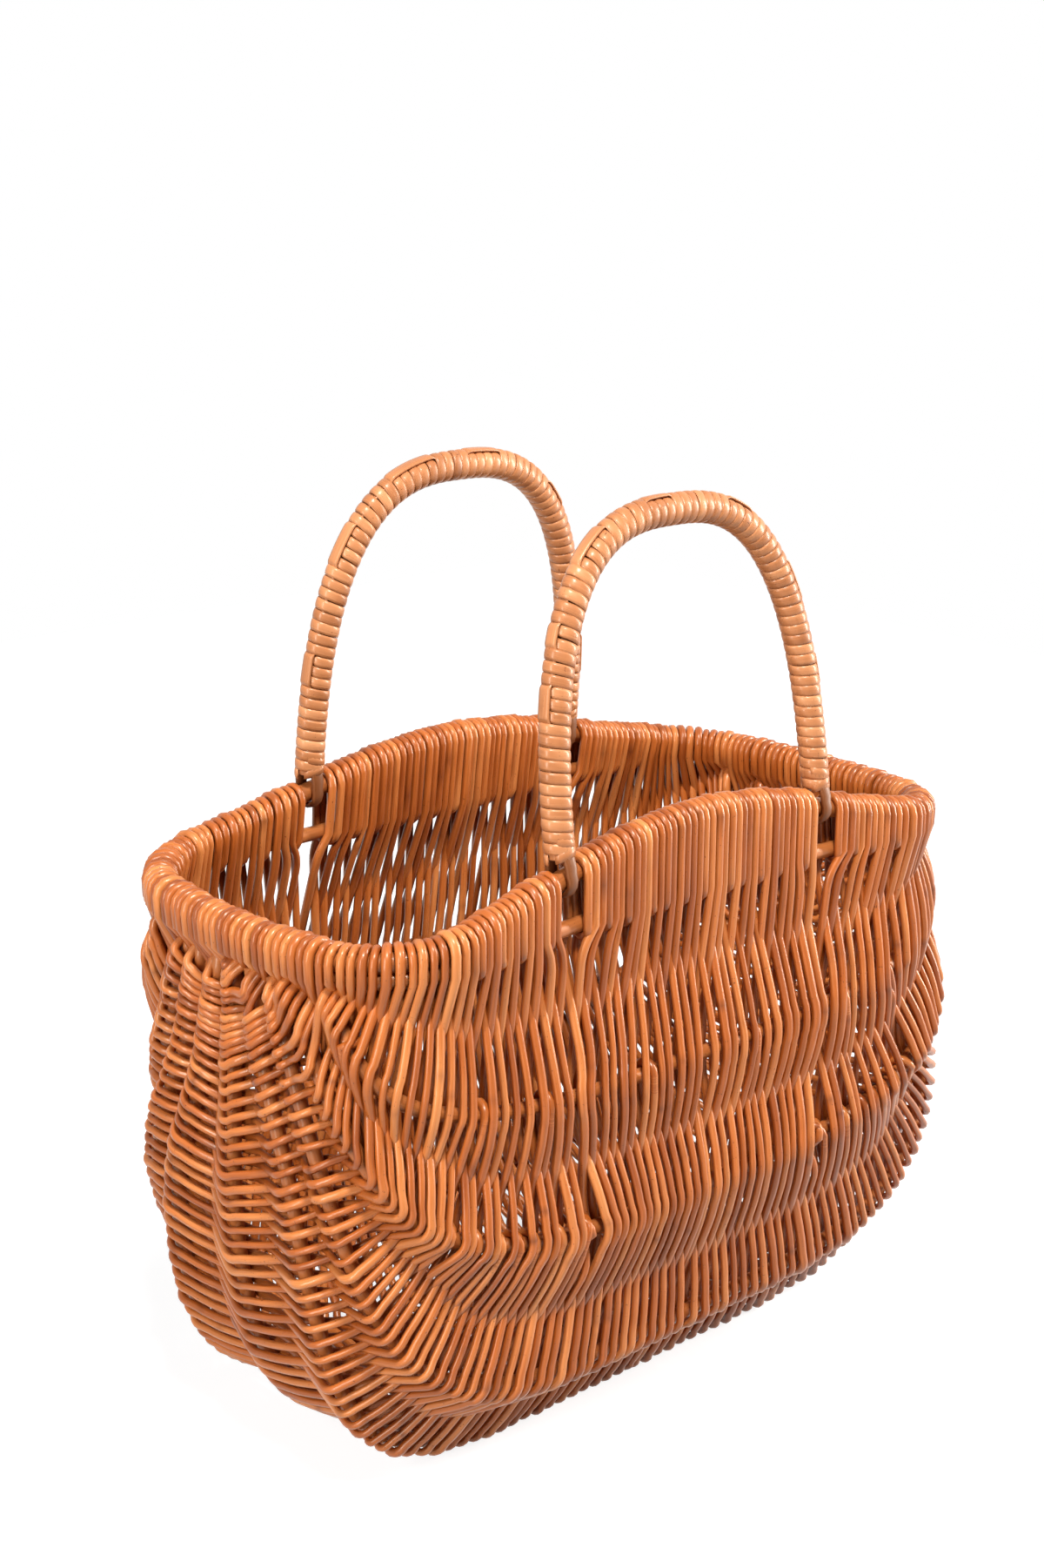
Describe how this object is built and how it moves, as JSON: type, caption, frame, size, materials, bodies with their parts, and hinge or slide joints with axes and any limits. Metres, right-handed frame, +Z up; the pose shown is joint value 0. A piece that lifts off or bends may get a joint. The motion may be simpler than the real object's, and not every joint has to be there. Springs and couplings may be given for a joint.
{
  "type": "wicker shopping basket",
  "caption": "Rectangular woven willow shopping basket with an arched rim and two swinging wound handles looped round the rim.",
  "frame": {"origin": "on the standing plane, below the middle of the overall box", "axes": "+X along the basket's length, towards the fuller end; -Y towards the front long side; +Z up"},
  "size_m": [0.4636, 0.2356, 0.4794],
  "materials": {
    "frame_rod": "varnished peeled willow rod",
    "weave": "varnished peeled willow, satin",
    "handle_rod": "varnished willow rod with shaved ends",
    "skein": "varnished split willow skein, glossy"
  },
  "bodies": {
    "basket": {"rim_hoop": "frame_rod", "rail_front": "frame_rod", "rail_rear": "frame_rod", "border_left_end": "weave", "border_right_end": "weave", "border_front": "weave", "border_rear": "weave", "rib_centre": "frame_rod", "rib_front_1": "frame_rod", "rib_front_2": "frame_rod", "rib_front_3": "frame_rod", "rib_front_4": "frame_rod", "rib_rear_1": "frame_rod", "rib_rear_2": "frame_rod", "rib_rear_3": "frame_rod", "rib_rear_4": "frame_rod", "weave_rear_side_upper": "weave", "weave_front_side_upper": "weave", "weave_rear_side_middle": "weave", "weave_front_side_middle": "weave", "weave_rear_side_lower": "weave", "weave_front_side_lower": "weave", "weave_rear_bottom_outer": "weave", "weave_front_bottom_outer": "weave", "weave_rear_bottom_inner": "weave", "weave_front_bottom_inner": "weave"},
    "handle_front": {"handle_front_rod": "handle_rod", "handle_front_winding": "skein", "handle_front_leader": "skein"},
    "handle_rear": {"handle_rear_rod": "handle_rod", "handle_rear_winding": "skein", "handle_rear_leader": "skein"}
  },
  "joints": [
    {"name": "front_handle_hinge", "type": "hinge", "parent": "basket", "child": "handle_front", "pos_m": [-0.00771, -0.09404, 0.30655], "axis": [1, 0, 0], "range_deg": [-22, 139]},
    {"name": "rear_handle_hinge", "type": "hinge", "parent": "basket", "child": "handle_rear", "pos_m": [-0.00771, 0.09404, 0.30655], "axis": [-1, 0, 0], "range_deg": [-27.5, 133.5]}
  ]
}
